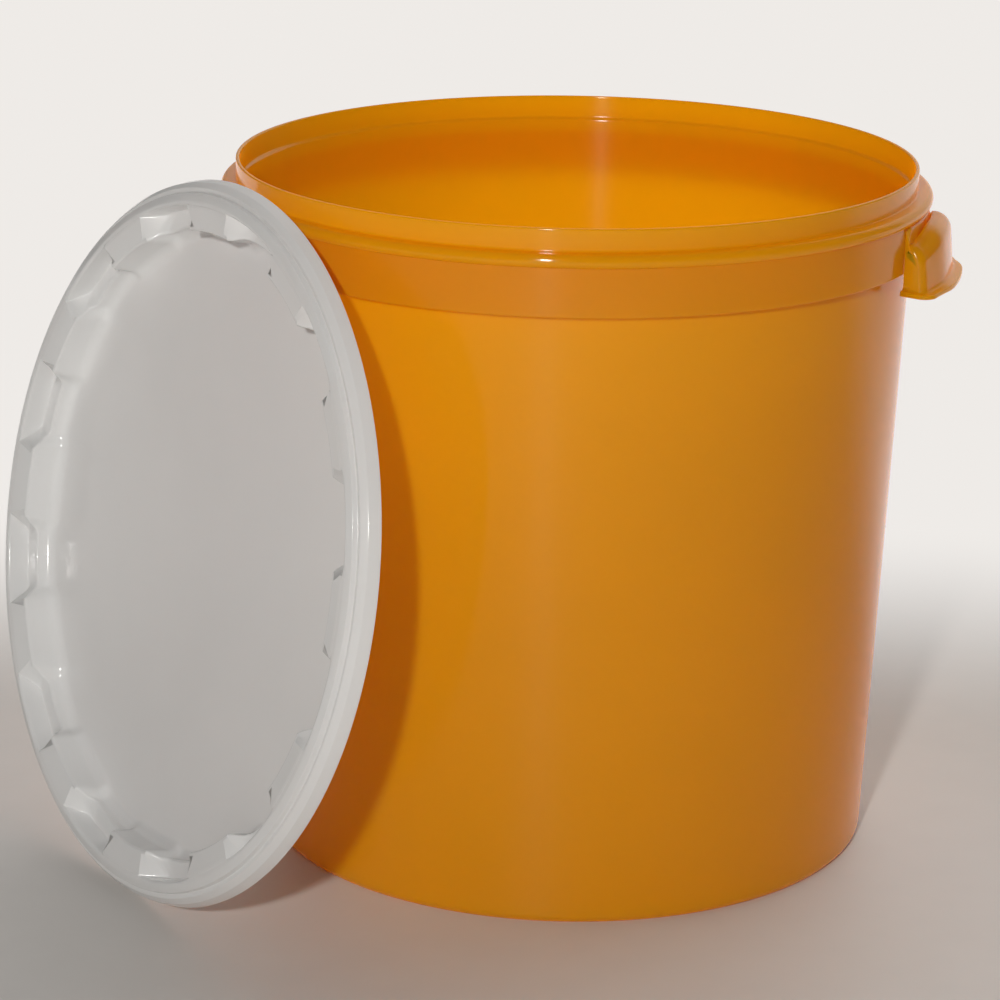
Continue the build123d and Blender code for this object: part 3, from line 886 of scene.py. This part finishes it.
class PAIL_OT_stage(Operator):
    """Pale floor, studio light and the photograph's camera"""

    bl_idname = "pail.stage"
    bl_label = "Stage"

    def floor_paint(self, stage):
        """Faintly speckled paint that turns into the backdrop's colour behind the pail, where it is seen."""
        speckle_tones = (0.97, 1.03)
        made = bpy.data.materials.new("floor_paint")
        tree = empty_tree(made)
        link = tree.links.new
        place = add_node(tree, "ShaderNodeTexCoord", (-900, 0)).outputs["Object"]
        parts = add_node(tree, "ShaderNodeSeparateXYZ", (-700, 0))
        link(place, parts.inputs["Vector"])
        fade = map_range(tree, (-500, 0), parts.outputs["Y"], (stage.fade_start, stage.fade_end))
        speckle = noise(tree, (-500, 300), place, Scale=30.0, Detail=5.0)
        paint = add_node(tree, "ShaderNodeBsdfPrincipled", (300, 150), Roughness=0.55)
        link(tones(tree, (-200, 300), speckle, stage.floor, speckle_tones), paint.inputs["Base Color"])
        tint = (*stage.backdrop, 1.0)
        pale = add_node(tree, "ShaderNodeEmission", (300, -150), Color=tint, Strength=1.0)
        rays = add_node(tree, "ShaderNodeLightPath", (-500, -300)).outputs
        seen = combine(tree, (-250, -300), "MAXIMUM", rays["Is Camera Ray"], rays["Is Glossy Ray"])
        seen = combine(tree, (-50, -300), "MAXIMUM", seen, rays["Is Transmission Ray"])
        share = combine(tree, (150, -300), "MULTIPLY", seen, fade)
        both = mix_shaders(tree, (600, 0), share, paint.outputs["BSDF"], pale.outputs["Emission"])
        out = add_node(tree, "ShaderNodeOutputMaterial", (900, 0))
        link(both, out.inputs["Surface"])
        return made

    def floor(self, stage):
        """Wide flat floor."""
        cells = stage.floor_cells
        leave_edit()
        bpy.ops.mesh.primitive_grid_add(
            x_subdivisions=cells, y_subdivisions=cells, size=stage.floor_size, location=(0, 0, 0)
        )
        piece = bpy.context.object
        piece.name = "studio_floor"
        piece.data.materials.append(self.floor_paint(stage))

    def key_light(self, stage):
        """Small round lamp behind and above the camera, a little to its left."""
        target = Vector((0, 0, stage.key_target))
        toward = at(math.cos(stage.key_rise), -math.pi / 2 - stage.key_turn, math.sin(stage.key_rise))
        leave_edit()
        bpy.ops.object.light_add(type="AREA", location=target + toward * stage.key_distance)
        lamp = bpy.context.object
        lamp.name = "key_light"
        lamp.data.shape = "DISK"
        lamp.data.size = stage.key_size
        lamp.data.energy = stage.key
        lamp.data.color = stage.key_tint
        lamp.rotation_euler = toward.to_track_quat("Z", "Y").to_euler()

    def air(self, stage):
        """Light that comes mostly from the far right, and the backdrop that the camera sees instead of it.

        Limits are parts of a direction, between which the dim side turns into the bright one.
        """
        side_limits = (-0.7, 0.3)
        soft_limits = (-0.1, 0.85)
        gloss_limits = (0.54, 0.64)
        gloss_place = -300
        world = bpy.data.worlds.new("studio_air")
        bpy.context.scene.world = world
        tree = empty_tree(world)
        link = tree.links.new
        way = add_node(tree, "ShaderNodeTexCoord", (-800, 200))
        parts = add_node(tree, "ShaderNodeSeparateXYZ", (-600, 200))
        link(way.outputs["Generated"], parts.inputs["Vector"])
        side = map_range(tree, (-600, 0), parts.outputs["X"], side_limits)

        def lit(place, tint, strength):
            made = add_node(tree, "ShaderNodeBackground", place, Color=(*tint, 1.0), Strength=strength)
            return made.outputs["Background"]

        def glow(near_level, far_level, limits, drop):
            depth = map_range(tree, (-400, 200 + drop), parts.outputs["Y"], limits)
            share = combine(tree, (-250, 50 + drop), "MULTIPLY", depth, side)
            near = lit((-100, 300 + drop), stage.air_tint, near_level)
            far = lit((-100, 150 + drop), stage.air_tint, far_level)
            return mix_shaders(tree, (100, 200 + drop), share, near, far)

        soft = glow(stage.fill, stage.back, soft_limits, 0)
        gloss = glow(stage.near_gloss, stage.far_gloss, gloss_limits, gloss_place)
        rays = add_node(tree, "ShaderNodeLightPath", (-400, -100)).outputs
        shown = mix_shaders(tree, (250, 100), rays["Is Glossy Ray"], soft, gloss)
        pale = lit((100, -300), stage.backdrop, 1.0)
        both = mix_shaders(tree, (400, 0), rays["Is Camera Ray"], shown, pale)
        out = add_node(tree, "ShaderNodeOutputWorld", (600, 0))
        link(both, out.inputs["Surface"])

    def camera(self, view):
        """Camera at the photograph's viewpoint."""
        ahead = Vector(
            (
                math.sin(view.yaw) * math.cos(view.pitch),
                math.cos(view.yaw) * math.cos(view.pitch),
                -math.sin(view.pitch),
            )
        )
        level = Vector((math.cos(view.yaw), -math.sin(view.yaw), 0))
        down = ahead.cross(level)
        right = level * math.cos(view.roll) + down * math.sin(view.roll)
        down = down * math.cos(view.roll) - level * math.sin(view.roll)
        leave_edit()
        bpy.ops.object.camera_add(location=(0, -view.distance, view.height))
        camera = bpy.context.object
        camera.name = "photo_camera"
        camera.rotation_euler = Matrix((right, -down, -ahead)).transposed().to_euler()
        camera.data.sensor_width = view.sensor
        camera.data.lens = view.lens
        bpy.context.scene.camera = camera

    def execute(self, context):
        context.scene.view_settings.view_transform = "Standard"
        self.floor(context.scene.pail_stage)
        self.key_light(context.scene.pail_stage)
        self.air(context.scene.pail_stage)
        self.camera(context.scene.pail_camera)
        return {"FINISHED"}


class PAIL_PT_panel(Panel):
    """Sidebar list of the pail's pieces"""

    bl_label = "Honey pail"
    bl_idname = "PAIL_PT_panel"
    bl_space_type = "VIEW_3D"
    bl_region_type = "UI"
    bl_category = "Pail"

    def draw(self, context):
        for operator in (PAIL_OT_tub, PAIL_OT_grips, PAIL_OT_lid, PAIL_OT_stage):
            self.layout.operator(operator.bl_idname)


settings = {
    "pail_tub": PailTubSizes,
    "pail_grip": PailGripSizes,
    "pail_lid": PailLidSizes,
    "pail_finish": PailFinish,
    "pail_stage": PailStage,
    "pail_camera": PailCamera,
}

classes = (*settings.values(), PAIL_OT_tub, PAIL_OT_grips, PAIL_OT_lid, PAIL_OT_stage, PAIL_PT_panel)


def register():
    """Adds the classes and their settings."""
    for each in classes:
        bpy.utils.register_class(each)
    for name, group in settings.items():
        setattr(bpy.types.Scene, name, PointerProperty(type=group))


def unregister():
    """Takes the settings and classes out again."""
    for name in settings:
        delattr(bpy.types.Scene, name)
    for each in reversed(classes):
        bpy.utils.unregister_class(each)


def main():
    """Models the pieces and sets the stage."""
    register()
    bpy.ops.pail.tub()
    bpy.ops.pail.grips()
    bpy.ops.pail.lid()
    bpy.ops.pail.stage()
    leave_edit()


if __name__ == "__main__":
    main()
